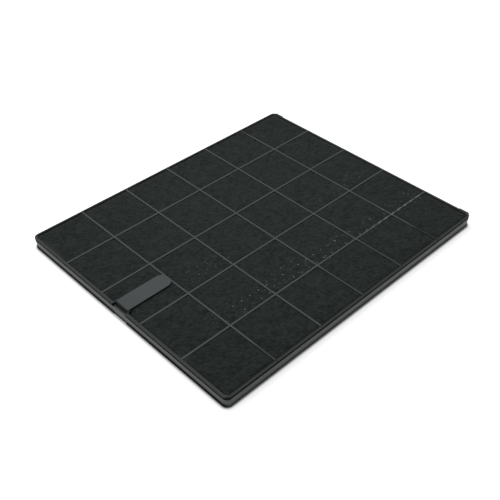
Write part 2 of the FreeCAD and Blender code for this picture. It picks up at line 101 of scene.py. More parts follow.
view_line = CAMERA_AIM - CAMERA_PLACE
bpy.ops.object.camera_add(location=CAMERA_PLACE)
camera = bpy.context.object
camera.name = "photo_camera"
camera.rotation_mode = "QUATERNION"
camera.rotation_quaternion = view_line.to_track_quat("-Z", "Y") @ Quaternion((0, 0, 1), CAMERA_ROLL)
camera.data.lens = LENS_MM
camera.data.clip_start = NEAREST_SEEN
bpy.context.scene.camera = camera
print("camera stands", round(view_line.length, 3), "m away")

# %% [markdown]
# ## Helpers for building node trees
#
# Every finish here is a small node tree, and building one by hand takes many alike steps. One helper
# adds a node and links its inputs, and the next ones name the arithmetic that the masks are made of:
# a mask is a number from 0 to 1 that says how much of a colour a point gets.

# %% Nodes and arithmetic
def add(tree, kind, **inputs):
    """A node of this kind. An input is a number or colour, or another node's output to link from."""
    node = tree.nodes.new("ShaderNode" + kind)
    for name, value in inputs.items():
        by_number = name.startswith("_")
        socket = node.inputs[int(name[1:])] if by_number else node.inputs[name.replace("_", " ")]
        if isinstance(value, bpy.types.NodeSocket):
            tree.links.new(value, socket)
        else:
            socket.default_value = value
    return node


def arithmetic(tree, operation, first, second=0.0, third=0.0):
    """One step of arithmetic between numbers or outputs."""
    node = add(tree, "Math", _0=first, _1=second, _2=third)
    node.operation = operation
    return node.outputs[0]


def product(tree, first, *others):
    """These numbers multiplied together. Of masks, it is the place that all of them cover."""
    for other in others:
        first = arithmetic(tree, "MULTIPLY", first, other)
    return first


def largest(tree, first, *others):
    """The largest of these numbers. Of masks, it is the place that any of them covers."""
    for other in others:
        first = arithmetic(tree, "MAXIMUM", first, other)
    return first


def opposite(tree, mask):
    """1 minus the number. Of a mask, it is the place that the mask leaves free."""
    return arithmetic(tree, "SUBTRACT", 1.0, mask)


def size_of(tree, value):
    """The number without its sign."""
    return arithmetic(tree, "ABSOLUTE", value)


def between(tree, value, low, high):
    """A mask with sharp edges between two levels."""
    above = arithmetic(tree, "GREATER_THAN", value, low)
    return product(tree, above, arithmetic(tree, "LESS_THAN", value, high))


def ramp(tree, value, start, end, least=0.0):
    """From the least share where the value is at the start, to 1 where it is at the end."""
    return add(tree, "MapRange", Value=value, From_Min=start, From_Max=end, To_Min=least).outputs[0]


def step_at(tree, value, level, width):
    """From 0 below this level to 1 above it, over a soft edge this wide. A negative width turns it round."""
    return ramp(tree, value, level - width / 2, level + width / 2)


print("arithmetic helpers ready")

# %% [markdown]
# ## Helpers for patterns and colours
#
# Patterns read the piece's own Object coordinates. Those are metres in the cassette's frame, so a
# pattern's scale is a real size, and a mask can be set to a real place on the cassette.

# %% Patterns and colours
def place(tree):
    """Where a point is, in metres in the cassette's frame."""
    return add(tree, "TexCoord").outputs["Object"]


def place_parts(tree):
    """The same place as its three numbers, named X, Y and Z."""
    return add(tree, "SeparateXYZ", Vector=place(tree)).outputs


def grain(tree, size, detail=2.0, stretch=(1, 1, 1), turn=0.0):
    """Noise from 0 to 1 whose grains have this size, in metres, and may be turned and drawn out."""
    turned = add(tree, "Mapping", Vector=place(tree), Rotation=(0, 0, turn))
    drawn = add(tree, "Mapping", Vector=turned.outputs[0], Scale=stretch)
    return add(tree, "TexNoise", Vector=drawn.outputs[0], Scale=1 / size, Detail=detail).outputs["Fac"]


def blend(tree, share, low, high):
    """Two colours mixed by a share from 0 to 1."""
    node = tree.nodes.new("ShaderNodeMix")
    node.data_type = "RGBA"
    for socket, value in ((node.inputs[0], share), (node.inputs[6], low), (node.inputs[7], high)):
        if isinstance(value, bpy.types.NodeSocket):
            tree.links.new(value, socket)
        else:
            socket.default_value = value if socket == node.inputs[0] else (*value, 1)
    return node.outputs[2]


def raise_by(tree, height, depth):
    """A bump whose full height is this deep, in metres. The normal that it gives goes to the shader."""
    return add(tree, "Bump", Height=height, Distance=depth, Strength=1.0).outputs["Normal"]


print("pattern helpers ready")

# %% [markdown]
# ## Floor
#
# The cassette lies on a plain white floor. The floor is a real surface that catches the shadow, with
# a little glow added where the camera or a reflection sees it, so that it reads as white without
# more light on the object. Right beside the cassette there is no glow, which paints a thin dark
# contact shadow there on top of the real one. That mask follows the cassette's rounded outline:
# outside a corner arc it is the distance from the arc's middle that counts.

# %% Floor
FLOOR_SIZE = 6.0
FLOOR_COLOUR = (0.85, 0.85, 0.85, 1)
FLOOR_GLOW = 0.45
GLOW_START = 0.5 * MM
GLOW_FULL = 1.5 * MM


def sees_background(tree):
    """A number that is 1 where the camera, a reflection or a refraction looks, and 0 for plain light."""
    path = add(tree, "LightPath").outputs
    return largest(tree, path["Is Camera Ray"], path["Is Glossy Ray"], path["Is Transmission Ray"])


def away_from_part(tree):
    """A mask that is 0 on the floor right beside the cassette, and 1 from a few millimetres on."""
    spot = place_parts(tree)
    past = {}
    for axis, half in (("X", HALF_LENGTH), ("Y", HALF_WIDTH)):
        beyond = arithmetic(tree, "SUBTRACT", size_of(tree, spot[axis]), half - CORNER)
        past[axis] = largest(tree, beyond, 0.0)
    reach = add(tree, "VectorMath", _0=add(tree, "CombineXYZ", **past).outputs[0])
    reach.operation = "LENGTH"
    return ramp(tree, reach.outputs["Value"], CORNER + GLOW_START, CORNER + GLOW_FULL)


bpy.ops.mesh.primitive_plane_add(size=FLOOR_SIZE, location=(0, 0, 0))
floor = bpy.context.object
floor.name = "floor"
floor_finish = bpy.data.materials.new("white_floor")
floor_finish.use_nodes = True
tree = floor_finish.node_tree
tree.nodes.clear()
matt = add(tree, "BsdfDiffuse", Color=FLOOR_COLOUR)
# Leaving the glow out beside the cassette paints a thin contact shadow there.
glow_strength = product(tree, sees_background(tree), FLOOR_GLOW, away_from_part(tree))
glow = add(tree, "Emission", Strength=glow_strength)
both = add(tree, "AddShader", _0=matt.outputs[0], _1=glow.outputs[0])
add(tree, "OutputMaterial", Surface=both.outputs[0])
floor.data.materials.append(floor_finish)
print("floor laid", FLOOR_SIZE, "m wide")

# %% [markdown]
# ## World and lamps
#
# The world is white to the camera and to reflections, and dimmer as a light. One wide lamp hangs
# overhead and a smaller one at the left lights the side wall there, as in the photograph. Together
# they make a colour render about as it is written.

# %% World
WORLD_LIGHT = 0.45
WORLD_SEEN = 1.0

world = bpy.data.worlds.new("studio")
bpy.context.scene.world = world
world.use_nodes = True
tree = world.node_tree
tree.nodes.clear()
strength = add(tree, "MapRange", Value=sees_background(tree), To_Min=WORLD_LIGHT, To_Max=WORLD_SEEN)
sky = add(tree, "Background", Color=(1, 1, 1, 1), Strength=strength.outputs[0])
add(tree, "OutputWorld", Surface=sky.outputs[0])
bpy.context.scene.view_settings.view_transform = "Standard"
print("world light", WORLD_LIGHT)

# %% Lamps
# Name, place in metres, width in metres and power in watts
LAMPS = (
    ("overhead_lamp", (0.08, 0.32, 0.95), 0.9, 5.6),
    ("side_lamp", (-1.1, 0.1, 0.35), 0.7, 3.5),
)


def add_lamp(name, spot, size, power):
    """A square area lamp that faces the cassette."""
    bpy.ops.object.light_add(type="AREA", location=spot)
    lamp = bpy.context.object
    lamp.name = name
    lamp.data.size = size
    lamp.data.energy = power
    lamp.rotation_mode = "QUATERNION"
    lamp.rotation_quaternion = (-Vector(spot)).to_track_quat("-Z", "Y")
    print(name, "of", power, "W")


for values in LAMPS:
    add_lamp(*values)

# %% [markdown]
# ## Moulded plastic
#
# The cover, the tray and the tab are moulded plastic with a fine spark-eroded grain, which breaks up
# reflections and makes black read as dark grey. Low noise moves the colour and the roughness a
# little, as on any moulding. One function makes this base, and each moulding adds its own zones.

# %% Plastic base
CLOUD_SIZE = 14 * MM
FINE_GRAIN = 0.25 * MM
ROUGHNESS_SPREAD = 0.05
WHITE = (1, 1, 1)
DULL = (0.3, 0.3, 0.3)


def new_finish(name):
    """A material with a Principled shader, its node tree and that shader."""
    finish = bpy.data.materials.new(name)
    finish.use_nodes = True
    tree = finish.node_tree
    return finish, tree, tree.nodes["Principled BSDF"]


def moulded_plastic(name, dark, light, roughness, grain_depth):
    """Satin moulded plastic between two close colours."""
    finish, tree, shader = new_finish(name)
    cloud = grain(tree, CLOUD_SIZE, detail=3.0)
    tree.links.new(blend(tree, cloud, dark, light), shader.inputs["Base Color"])
    low, high = roughness - ROUGHNESS_SPREAD, roughness + ROUGHNESS_SPREAD
    rough = add(tree, "MapRange", Value=cloud, To_Min=low, To_Max=high)
    tree.links.new(rough.outputs[0], shader.inputs["Roughness"])
    fine = grain(tree, FINE_GRAIN)
    tree.links.new(raise_by(tree, fine, grain_depth), shader.inputs["Normal"])
    return finish, tree, shader


def base_colour(shader):
    """The colour that the shader has so far, for a zone to be laid over."""
    return shader.inputs["Base Color"].links[0].from_socket


print("plastic base ready")

# %% [markdown]
# ## Fluff on the cover
#
# On the real cassette the cover isn't one even black. Loose fibres of the fleece creep over some ribs
# near the long sides, so those ribs fade into the fleece, and they lie on the inner part of both long
# rims. They could be grown as hairs, but from this far only their colour shows, so a mask is enough.
# A noise makes the edge of the fluff ragged.

# %% Fluff mask
FLUFF_FRAY_SIZE = 3 * MM
FLUFF_FRAY = 8 * MM
FLUFF_START = 4 * MM
FLUFF_FADE = 10 * MM
RIB_REACH = 1.2 * MM
SOFT_EDGE = 0.2 * MM
RIM_FLUFF = (-111.35 * MM, 112 * MM)
# The rib's place, where its fluff begins, towards which side it goes on, and how strong it is
FLUFFED_RIBS = (
    (2 * CELL, -88 * MM, -1, 1.0),
    (2 * CELL, 100 * MM, 1, 0.8),
    (1 * CELL, -72 * MM, -1, 0.45),
    (0 * CELL, -72 * MM, -1, 0.35),
    (-2 * CELL, -91 * MM, -1, 0.6),
)


def fluff_on_ribs(tree, spot):
    """A mask of the ends of ribs that fade into the fleece."""
    fluff = 0.0
    fray = grain(tree, FLUFF_FRAY_SIZE)
    for rib_x, from_y, side, amount in FLUFFED_RIBS:
        beside = size_of(tree, arithmetic(tree, "SUBTRACT", spot["X"], rib_x))
        on_rib = opposite(tree, step_at(tree, beside, RIB_REACH, SOFT_EDGE))
        past = arithmetic(tree, "MULTIPLY", arithmetic(tree, "SUBTRACT", spot["Y"], from_y), side)
        past = arithmetic(tree, "MULTIPLY_ADD", fray, FLUFF_FRAY, past)
        here = product(tree, step_at(tree, past, FLUFF_START, FLUFF_FADE), on_rib)
        fluff = largest(tree, product(tree, here, amount), fluff)
    return fluff


def fluff_on_rims(tree, spot, past_side):
    """A mask of the inner part of both long rims."""
    near = step_at(tree, spot["Y"], RIM_FLUFF[0], SOFT_EDGE)
    return product(tree, near, past_side, arithmetic(tree, "LESS_THAN", spot["Y"], RIM_FLUFF[1]))


print("fluff on", len(FLUFFED_RIBS), "rib ends")

# %% [markdown]
# ## The cover's finish
#
# The tops of the ribs are a lighter grey than the rim. Below the top edge, the groove and the ribs'
# sides are painted black as shade, and so the ribs read as thin light lines. The two hinge ears stand
# higher than anything else on the cover, and are painted dark as shade, as the near one lies in the
# tab's shade. Each zone is a step on the point's own place. A zone of painted black shade also gets
# a black specular tint, because gloss alone would turn it grey.

# %% Cover finish
COVER_DARK = (0.006, 0.0078, 0.0072)
COVER_LIGHT = (0.011, 0.0138, 0.013)
RIB_GREY = (0.0305, 0.0385, 0.036)
FLUFF = (0.006, 0.008, 0.0075)
RIB_FLUFF = (0.0125, 0.0165, 0.0155)
EAR_SHADE_GREY = (0.010, 0.013, 0.012)
GROOVE_SHADE_BLACK = (0.002, 0.002, 0.002)
RIM_EDGE = 0.3 * MM
SIDES_BELOW = 9.8 * MM
EARS_ABOVE = 10.6 * MM
EAR_EDGE = 0.1 * MM

cover_finish, tree, shader = moulded_plastic("cover_plastic", COVER_DARK, COVER_LIGHT, 0.5, 0.01 * MM)
shader.inputs["Specular IOR Level"].default_value = 0.25
spot = place_parts(tree)
past_end = step_at(tree, size_of(tree, spot["X"]), HALF_LENGTH - RIM, RIM_EDGE)
past_side = step_at(tree, size_of(tree, spot["Y"]), HALF_WIDTH - RIM, RIM_EDGE)
on_rim = largest(tree, past_end, past_side)
colour = blend(tree, on_rim, RIB_GREY, base_colour(shader))
rib_fluff = fluff_on_ribs(tree, spot)
colour = blend(tree, rib_fluff, colour, RIB_FLUFF)
rim_fluff = fluff_on_rims(tree, spot, past_side)
colour = blend(tree, rim_fluff, colour, FLUFF)
# Below this level the groove and the ribs' sides are painted black as shade.
top_face = step_at(tree, spot["Z"], SIDES_BELOW, SOFT_EDGE)
colour = blend(tree, top_face, GROOVE_SHADE_BLACK, colour)
# The hinge ears are painted dark as shade.
on_ears = step_at(tree, spot["Z"], EARS_ABOVE, EAR_EDGE)
tree.links.new(blend(tree, on_ears, colour, EAR_SHADE_GREY), shader.inputs["Base Color"])
tint = blend(tree, largest(tree, rib_fluff, rim_fluff, on_ears), WHITE, DULL)
# The painted black shade also gets a black specular tint.
tree.links.new(blend(tree, top_face, GROOVE_SHADE_BLACK, tint), shader.inputs["Specular Tint"])
lattice_finish, _, _ = moulded_plastic("lattice_plastic", COVER_DARK, COVER_LIGHT, 0.55, 0.01 * MM)
print("made", cover_finish.name, "and", lattice_finish.name)

# %% [markdown]
# ## The tray's tones
#
# The tray's side wall shows as a grey band between the channel above it and the lip below it, and
# both of these are painted black as shade: the channel as the shade below the cover's rim, the lip
# as the contact shadow at the floor, painted higher up the short sides. One material holds them all,
# because a point's height tells which of them it is on. The band isn't even: it is painted lighter
# towards the foot, where it reflects the white floor, the long sides get a lighter painted grey of
# their own for the light that falls on them, and they are painted lighter still towards their far
# end, where they catch more light. The underside's grid has the same grey as the cover's ribs.
# Zones by place leave the imported mesh as it is, where separate materials would need its faces cut.

# %% Tray colours and levels
# Black painted as shade on the lip and in the channel.
PAINTED_SHADE_BLACK = (0.001, 0.001, 0.001)
WALL_DARK = (0.034, 0.039, 0.037)
WALL_LIGHT = (0.044, 0.050, 0.048)
# Painted light: the wall's foot and the long sides get lighter greys.
SHORT_FOOT_PAINTED_LIGHT = (0.050, 0.057, 0.055)
LONG_SIDE_PAINTED_GREY = (0.050, 0.057, 0.055)
LONG_FAR_END_PAINTED_LIGHT = (0.082, 0.092, 0.089)
LONG_FOOT_PAINTED_LIGHT = (0.088, 0.097, 0.094)
NOTCH_GREY = (0.036, 0.043, 0.041)
WALL_FOOT = 1 * MM
WALL_HEAD = 6.5 * MM
# Each level with the width of its soft edge
# Where the painted shade of the lip ends and that of the channel begins; the lip's reaches higher on the
# short sides.
LONG_LIP_TOP = (1.5 * MM, 0.4 * MM)
SHORT_LIP_TOP = (2.4 * MM, 1.1 * MM)
LONG_WALL_TOP = (7.1 * MM, 0.4 * MM)
SHORT_WALL_TOP = (7.8 * MM, 0.3 * MM)
LIGHTER_PAST = (-10 * MM, 220 * MM)
SHORT_SIDE = (HALF_LENGTH - 1.5 * MM, 1 * MM)
OUTER_SKIN = 1.2 * MM
UNDERSIDE_BELOW = 3 * MM
HALF_NOTCH = 7 * MM
print("wall between", SHORT_LIP_TOP[0] / MM, "and", SHORT_WALL_TOP[0] / MM, "mm on the short sides")

# %% Tray masks
def lit_wall(tree, spot, short_side):
    """Masks of the lit wall between the lip's and the channel's painted shade, and of what lies above it on
    a short side.
    """
    long_side = opposite(tree, short_side)
    above_long = step_at(tree, spot["Z"], *LONG_LIP_TOP)
    above_short = step_at(tree, spot["Z"], *SHORT_LIP_TOP)
    above_lip = product(tree, above_long, largest(tree, above_short, long_side))
    past_long = product(tree, step_at(tree, spot["Z"], *LONG_WALL_TOP), long_side)
    past_short = step_at(tree, spot["Z"], *SHORT_WALL_TOP)
    below_channel = opposite(tree, largest(tree, past_long, past_short))
    return product(tree, above_lip, below_channel), past_short


def underside(tree, spot):
    """A mask of the ledge and the grid, inside the tray's outer skin."""
    past_end = step_at(tree, size_of(tree, spot["X"]), HALF_LENGTH - OUTER_SKIN, SOFT_EDGE)
    past_side = step_at(tree, size_of(tree, spot["Y"]), HALF_WIDTH - OUTER_SKIN, SOFT_EDGE)
    inside = opposite(tree, largest(tree, past_end, past_side))
    return product(tree, inside, arithmetic(tree, "LESS_THAN", spot["Z"], UNDERSIDE_BELOW))


print("tray masks ready")

# %% Tray finish
tray_finish, tree, shader = moulded_plastic("tray_plastic", WALL_DARK, WALL_LIGHT, 0.45, 0.008 * MM)
shader.inputs["Specular IOR Level"].default_value = 0.3
spot = place_parts(tree)
short_side = step_at(tree, size_of(tree, spot["X"]), *SHORT_SIDE)
# Painted light: the long sides get their own lighter grey, lighter still towards their far end.
long_colour = blend(tree, step_at(tree, spot["X"], *LIGHTER_PAST), LONG_SIDE_PAINTED_GREY, LONG_FAR_END_PAINTED_LIGHT)
upper_colour = blend(tree, short_side, long_colour, base_colour(shader))
# Painted light: the wall is lighter towards its foot, where it reflects the white floor.
foot_colour = blend(tree, short_side, LONG_FOOT_PAINTED_LIGHT, SHORT_FOOT_PAINTED_LIGHT)
colour = blend(tree, ramp(tree, spot["Z"], WALL_FOOT, WALL_HEAD), foot_colour, upper_colour)
on_wall, past_short = lit_wall(tree, spot, short_side)
under = underside(tree, spot)
colour = blend(tree, under, colour, RIB_GREY)
lit = largest(tree, on_wall, under)
# Painted shade: outside the lit wall and the underside, the lip and the channel are black.
colour = blend(tree, lit, PAINTED_SHADE_BLACK, colour)
in_notch = arithmetic(tree, "LESS_THAN", size_of(tree, spot["Y"]), HALF_NOTCH)
in_notch = product(tree, in_notch, past_short)
tree.links.new(blend(tree, in_notch, colour, NOTCH_GREY), shader.inputs["Base Color"])
# The painted shade also gets a black specular tint.
tint = blend(tree, largest(tree, lit, in_notch), PAINTED_SHADE_BLACK, WHITE)
tree.links.new(tint, shader.inputs["Specular Tint"])
print("made", tray_finish.name)

# %% [markdown]
# ## The tab's finish
#
# The tab is a lighter grey than the frame, smooth and satin, so it gets its own plastic. Its colour
# deepens a little towards the root. Only its top face is this grey: the thin sides and the face
# below are painted nearly black as shade.

# %% Tab finish
TAB_DARK = (0.0185, 0.0250, 0.0248)
TAB_LIGHT = (0.0250, 0.0318, 0.0313)
TAB_ROOT = (0.0155, 0.0220, 0.0228)
TAB_SIDE_SHADE = (0.004, 0.005, 0.005)
TAB_ROOT_END = (-122 * MM, 20 * MM)
TAB_TOP_FACE = (11.42 * MM, 0.15 * MM)

tab_finish, tree, shader = moulded_plastic("tab_plastic", TAB_DARK, TAB_LIGHT, 0.48, 0.004 * MM)
shader.inputs["Specular IOR Level"].default_value = 0.3
spot = place_parts(tree)
on_top = step_at(tree, spot["Z"], *TAB_TOP_FACE)
colour = blend(tree, step_at(tree, spot["X"], *TAB_ROOT_END), TAB_ROOT, base_colour(shader))
# The thin sides and the face below are painted nearly black as shade.
tree.links.new(blend(tree, on_top, TAB_SIDE_SHADE, colour), shader.inputs["Base Color"])
tree.links.new(blend(tree, on_top, DULL, WHITE), shader.inputs["Specular Tint"])
print("made", tab_finish.name)

# %% [markdown]
# ## Activated carbon
#
# The chambers hold black granules, two or three millimetres across. Voronoi cells make the grains:
# their distance field is high in the middle of each grain and falls away towards its neighbours.

# %% Carbon finish
GRANULE = 2.4 * MM
GRANULE_RISE = 0.8 * MM
CARBON_DARK = (0.008, 0.008, 0.009)
CARBON_LIGHT = (0.028, 0.028, 0.03)

carbon_finish, tree, shader = new_finish("carbon_granules")
grains = add(tree, "TexVoronoi", Vector=place(tree), Scale=1 / GRANULE)
tone = add(tree, "SeparateXYZ", Vector=grains.outputs["Color"]).outputs["X"]
tree.links.new(blend(tree, tone, CARBON_DARK, CARBON_LIGHT), shader.inputs["Base Color"])
shader.inputs["Roughness"].default_value = 0.6
rounded = opposite(tree, grains.outputs["Distance"])
tree.links.new(raise_by(tree, rounded, GRANULE_RISE), shader.inputs["Normal"])
print("made", carbon_finish.name)

# %% [markdown]
# ## Light specks and their painted glints
#
# Rows of small light specks cross the fleece near the front and the middle, where needles tacked the
# sheet, and they stand at a slight angle to the ribs. The tack points are real, and their lightness is
# a painted glint where light catches them. Each is about a millimetre wide and doesn't stand proud,
# so they are colour and not shape. A row is a line of equally spaced spots: the distance to the
# nearest one comes from rounding. Between the rows lie loose flecks, painted glints as well, which
# are the middles of some Voronoi cells. A patchy noise leaves parts of both faint.

# %% Specks in rows
SPECK_STEP = 8.2 * MM
SPECK_RADIUS = 0.75 * MM
SPECK_CORE = 0.25
SPECK_TURN = math.radians(1.3)
# Place across, shift in steps, both ends and strength. Places are in millimetres.
SPECK_ROWS = (
    (-6.2, 0.0, -76, -44, 0.6),
    (-13.4, 0.5, -76, -44, 0.6),
    (-6.2, 0.0, 53, 120, 0.5),
    (-13.4, 0.5, 53, 120, 0.5),
    (-56.2, 0.0, -102, -76, 0.35),
    (-56.2, 0.0, -76, 48, 1.0),
    (-56.2, 0.0, 48, 129, 0.9),
    (-64.0, 0.5, -102, -76, 0.35),
    (-64.0, 0.5, -76, 45, 0.9),
    (-64.0, 0.5, 45, 129, 1.6),
)


def off_step(tree, value, shift=0.0):
    """How far a place is from the nearest whole step, counted in steps."""
    steps = arithmetic(tree, "MULTIPLY_ADD", value, 1 / SPECK_STEP, shift)
    return arithmetic(tree, "SUBTRACT", steps, arithmetic(tree, "ROUND", steps))


def specks_in_rows(tree, along):
    """All the rows of spots added together."""
    total = 0.0
    for across, shift, start, end, amount in SPECK_ROWS:
        beside = product(tree, off_step(tree, along["X"], shift), SPECK_STEP)
        away = arithmetic(tree, "SUBTRACT", along["Y"], across * MM)
        square = arithmetic(tree, "MULTIPLY_ADD", beside, beside, product(tree, away, away))
        spot = ramp(tree, arithmetic(tree, "SQRT", square), SPECK_RADIUS, SPECK_CORE * SPECK_RADIUS)
        shown = product(tree, spot, between(tree, along["X"], start * MM, end * MM))
        total = arithmetic(tree, "MULTIPLY_ADD", shown, amount, total)
    return total


print("specks every", SPECK_STEP / MM, "mm in", len(SPECK_ROWS), "rows")

# %% Loose flecks
FLECK_STEP = 2.6 * MM
FLECK_CHOSEN = (0.3, 0.9)
FLECK_FADE = (0.24, 0.08)
# Both ends along, both sides across and strength. Places are in millimetres.
FLECK_BANDS = (
    (-104, -76, -67, -51, 0.5),
    (-76, 48, -68, -49, 1.0),
    (48, 129, -68, -52, 1.0),
    (-80, -40, -17, -2, 0.8),
    (50, 120, -18, -3, 1.0),
)


def flecks(tree, along, total):
    """Loose flecks in bands, added to the total."""
    dots = add(tree, "TexVoronoi", Vector=place(tree), Scale=1 / FLECK_STEP)
    tone = add(tree, "SeparateXYZ", Vector=dots.outputs["Color"]).outputs["X"]
    dot = product(tree, ramp(tree, dots.outputs["Distance"], *FLECK_FADE), ramp(tree, tone, *FLECK_CHOSEN))
    for start, end, low, high, amount in FLECK_BANDS:
        within_ends = between(tree, along["X"], start * MM, end * MM)
        within_sides = between(tree, along["Y"], low * MM, high * MM)
        shown = product(tree, dot, product(tree, within_ends, within_sides))
        total = arithmetic(tree, "MULTIPLY_ADD", shown, amount, total)
    return total


print("flecks in", len(FLECK_BANDS), "bands")

# %% Specks and flecks together
PATCH_SIZE = 5 * MM
PATCH_RANGE = (0.38, 0.6)
PATCH_LEAST = 0.15
# The colour of the specks' painted glints.
SPECK_GLINT_COLOUR = (0.17, 0.19, 0.185)


def specks(tree):
    """A mask of the painted glints on all the light specks, strong in some patches and faint in others."""
    turned = add(tree, "Mapping", Vector=place(tree), Rotation=(0, 0, SPECK_TURN))
    along = add(tree, "SeparateXYZ", Vector=turned.outputs[0]).outputs
    patchy = ramp(tree, grain(tree, PATCH_SIZE), *PATCH_RANGE, least=PATCH_LEAST)
    return product(tree, flecks(tree, along, specks_in_rows(tree, along)), patchy)


print("speck colour", SPECK_GLINT_COLOUR)

# %% [markdown]
# ## Where the fleece lies pressed
#
# Beside the rim near the far left corner, the fleece is ironed flat in a long low bulge, and so it is
# at the root of one rib, where two small flares reach out. Pressed fleece shines, and that shine is
# painted as a lighter grey. The bulge is a bow, 1 minus the fourth power of the place along it, and a
# flare is where the distances to rim and rib multiplied together stay small.

# %% Pressed fleece
BULGE_MIDDLE = 90 * MM
BULGE_HALF = 18 * MM
BULGE_DEPTH = 2.0 * MM
BULGE_EDGE = 0.25 * MM
BULGE_POWER = 4.0
FLARED_RIB = -1.5 * CELL
FLARE_REACH = 6 * MM
FLARE_EDGE = (4 * MM * MM, 2 * MM * MM)


def pressed(tree):
    """A mask where the fleece is ironed flat and its shine is painted: the long bulge, and the rib's root.
    """
    spot = place_parts(tree)
    from_rim = arithmetic(tree, "ADD", spot["X"], HALF_LENGTH - RIM)
    along = arithmetic(tree, "DIVIDE", arithmetic(tree, "SUBTRACT", spot["Y"], BULGE_MIDDLE), BULGE_HALF)
    bow = opposite(tree, arithmetic(tree, "POWER", size_of(tree, along), BULGE_POWER))
    reach = product(tree, largest(tree, bow, 0.0), BULGE_DEPTH)
    bulge = ramp(tree, arithmetic(tree, "SUBTRACT", from_rim, reach), BULGE_EDGE, -BULGE_EDGE)
    beside = size_of(tree, arithmetic(tree, "SUBTRACT", spot["Y"], FLARED_RIB))
    beside = arithmetic(tree, "SUBTRACT", beside, RIB / 2)
    flare = ramp(tree, product(tree, from_rim, beside), *FLARE_EDGE)
    close_to_rim = arithmetic(tree, "LESS_THAN", from_rim, FLARE_REACH)
    close_to_rib = arithmetic(tree, "LESS_THAN", beside, FLARE_REACH)
    return largest(tree, bulge, product(tree, flare, product(tree, close_to_rim, close_to_rib)))


print("pressed around Y", BULGE_MIDDLE / MM, "mm")

# %% [markdown]
# ## Black non-woven
#
# Non-woven is a mat of fine fibres laid at random and needled together. From a step away it is an
# almost even black with soft clouds. Close up there are fibres every way, which two noises drawn out
# at a slant give. Its tone is a sum of clouds, mottle and fibres, with a painted pool of light that
# makes it a little lighter in the middle of the cassette than at its corners. The same fibres and
# mottle make a fine bump.

# %% Tone of the fleece
CLOUDS = (9 * MM, 0.2)
MOTTLE = (2.2 * MM, 0.4)
LONG_FIBRES = (1.1 * MM, 0.4)
FINE_FIBRES = 0.5 * MM
LONG_STRETCH = (0.25, 1.0, 1.0)
FINE_STRETCH = (0.18, 1.0, 1.0)
FIBRE_TURN = math.radians(32)
FIBRE_RISE = 0.6
MOTTLE_RISE = 0.8
LIGHT_POOL_LIFT = 0.05
LIGHT_POOL_FALL = -0.5
TONE_RANGE = (0.425, 0.625)


def middle(tree):
    """From 1 in the middle of the cassette to 0 at its corners, for the painted pool of light that lifts the
    middle.
    """
    spot = place_parts(tree)
    along = arithmetic(tree, "DIVIDE", spot["X"], HALF_LENGTH)
    across = arithmetic(tree, "DIVIDE", spot["Y"], HALF_WIDTH)
    both = arithmetic(tree, "MULTIPLY_ADD", along, along, product(tree, across, across))
    return arithmetic(tree, "MULTIPLY_ADD", both, LIGHT_POOL_FALL, 1.0)


def fleece_patterns(tree):
    """The fleece's tone from 0 to 1, and the height of its surface."""
    clouds = grain(tree, CLOUDS[0], detail=4.0)
    mottle = grain(tree, MOTTLE[0], detail=4.0)
    long_fibres = grain(tree, LONG_FIBRES[0], 3.0, LONG_STRETCH, FIBRE_TURN)
    fine_fibres = grain(tree, FINE_FIBRES, 3.0, FINE_STRETCH, -2 * FIBRE_TURN)
    tone = arithmetic(tree, "MULTIPLY_ADD", mottle, MOTTLE[1], product(tree, clouds, CLOUDS[1]))
    tone = arithmetic(tree, "MULTIPLY_ADD", long_fibres, LONG_FIBRES[1], tone)
    # A painted pool of light lifts the tone in the middle.
    tone = arithmetic(tree, "MULTIPLY_ADD", middle(tree), LIGHT_POOL_LIFT, tone)
    fibres = largest(tree, long_fibres, fine_fibres)
    surface = arithmetic(tree, "MULTIPLY_ADD", fibres, FIBRE_RISE, product(tree, mottle, MOTTLE_RISE))
    return ramp(tree, tone, *TONE_RANGE), surface


print("fibres at", round(math.degrees(FIBRE_TURN)), "degrees")

# %% Fleece finish
FLEECE_DARK = (0.0058, 0.0082, 0.0075)
FLEECE_LIGHT = (0.0204, 0.0258, 0.0244)
PRESSED_SHINE_GREY = (0.026, 0.031, 0.030)
FLEECE_BUMP = 0.12 * MM
SHEEN = 0.04

fleece_finish, tree, shader = new_finish("black_fleece")
tone, surface = fleece_patterns(tree)
colour = blend(tree, tone, FLEECE_DARK, FLEECE_LIGHT)
# Painted shine where the fleece is pressed flat.
colour = blend(tree, pressed(tree), colour, PRESSED_SHINE_GREY)
# The specks' painted glints go over the fleece's colour.
tree.links.new(blend(tree, specks(tree), colour, SPECK_GLINT_COLOUR), shader.inputs["Base Color"])
shader.inputs["Roughness"].default_value = 0.9
shader.inputs["Specular IOR Level"].default_value = 0.1
shader.inputs["Sheen Weight"].default_value = SHEEN
shader.inputs["Sheen Roughness"].default_value = 0.5
tree.links.new(raise_by(tree, surface, FLEECE_BUMP), shader.inputs["Normal"])
print("made", fleece_finish.name)

# %% [markdown]
# ## Specks on the cover too
#
# The specks and their painted glints run on over the ribs, so the cover's finish gets them on top of
# its own colour. One long rib also carries a row of short light dashes, painted glints too, at the
# same spacing, towards its far end.

# %% Specks and dashes on the cover
DASHED_RIB = -1.5 * CELL
DASH_EDGE = (0.22, 0.1)
DASH_STRENGTH = 0.5
DASH_BEGINS = (62 * MM, 30 * MM)
DASH_ENDS = (124 * MM, -6 * MM)

tree = cover_finish.node_tree
shader = tree.nodes["Principled BSDF"]
spot = place_parts(tree)
dash = ramp(tree, size_of(tree, off_step(tree, spot["X"])), *DASH_EDGE)
across = size_of(tree, arithmetic(tree, "SUBTRACT", spot["Y"], DASHED_RIB))
dash = product(tree, dash, arithmetic(tree, "LESS_THAN", across, RIB / 2))
begun, not_ended = step_at(tree, spot["X"], *DASH_BEGINS), step_at(tree, spot["X"], *DASH_ENDS)
dash = product(tree, dash, begun, not_ended)
marks = largest(tree, specks(tree), product(tree, dash, DASH_STRENGTH))
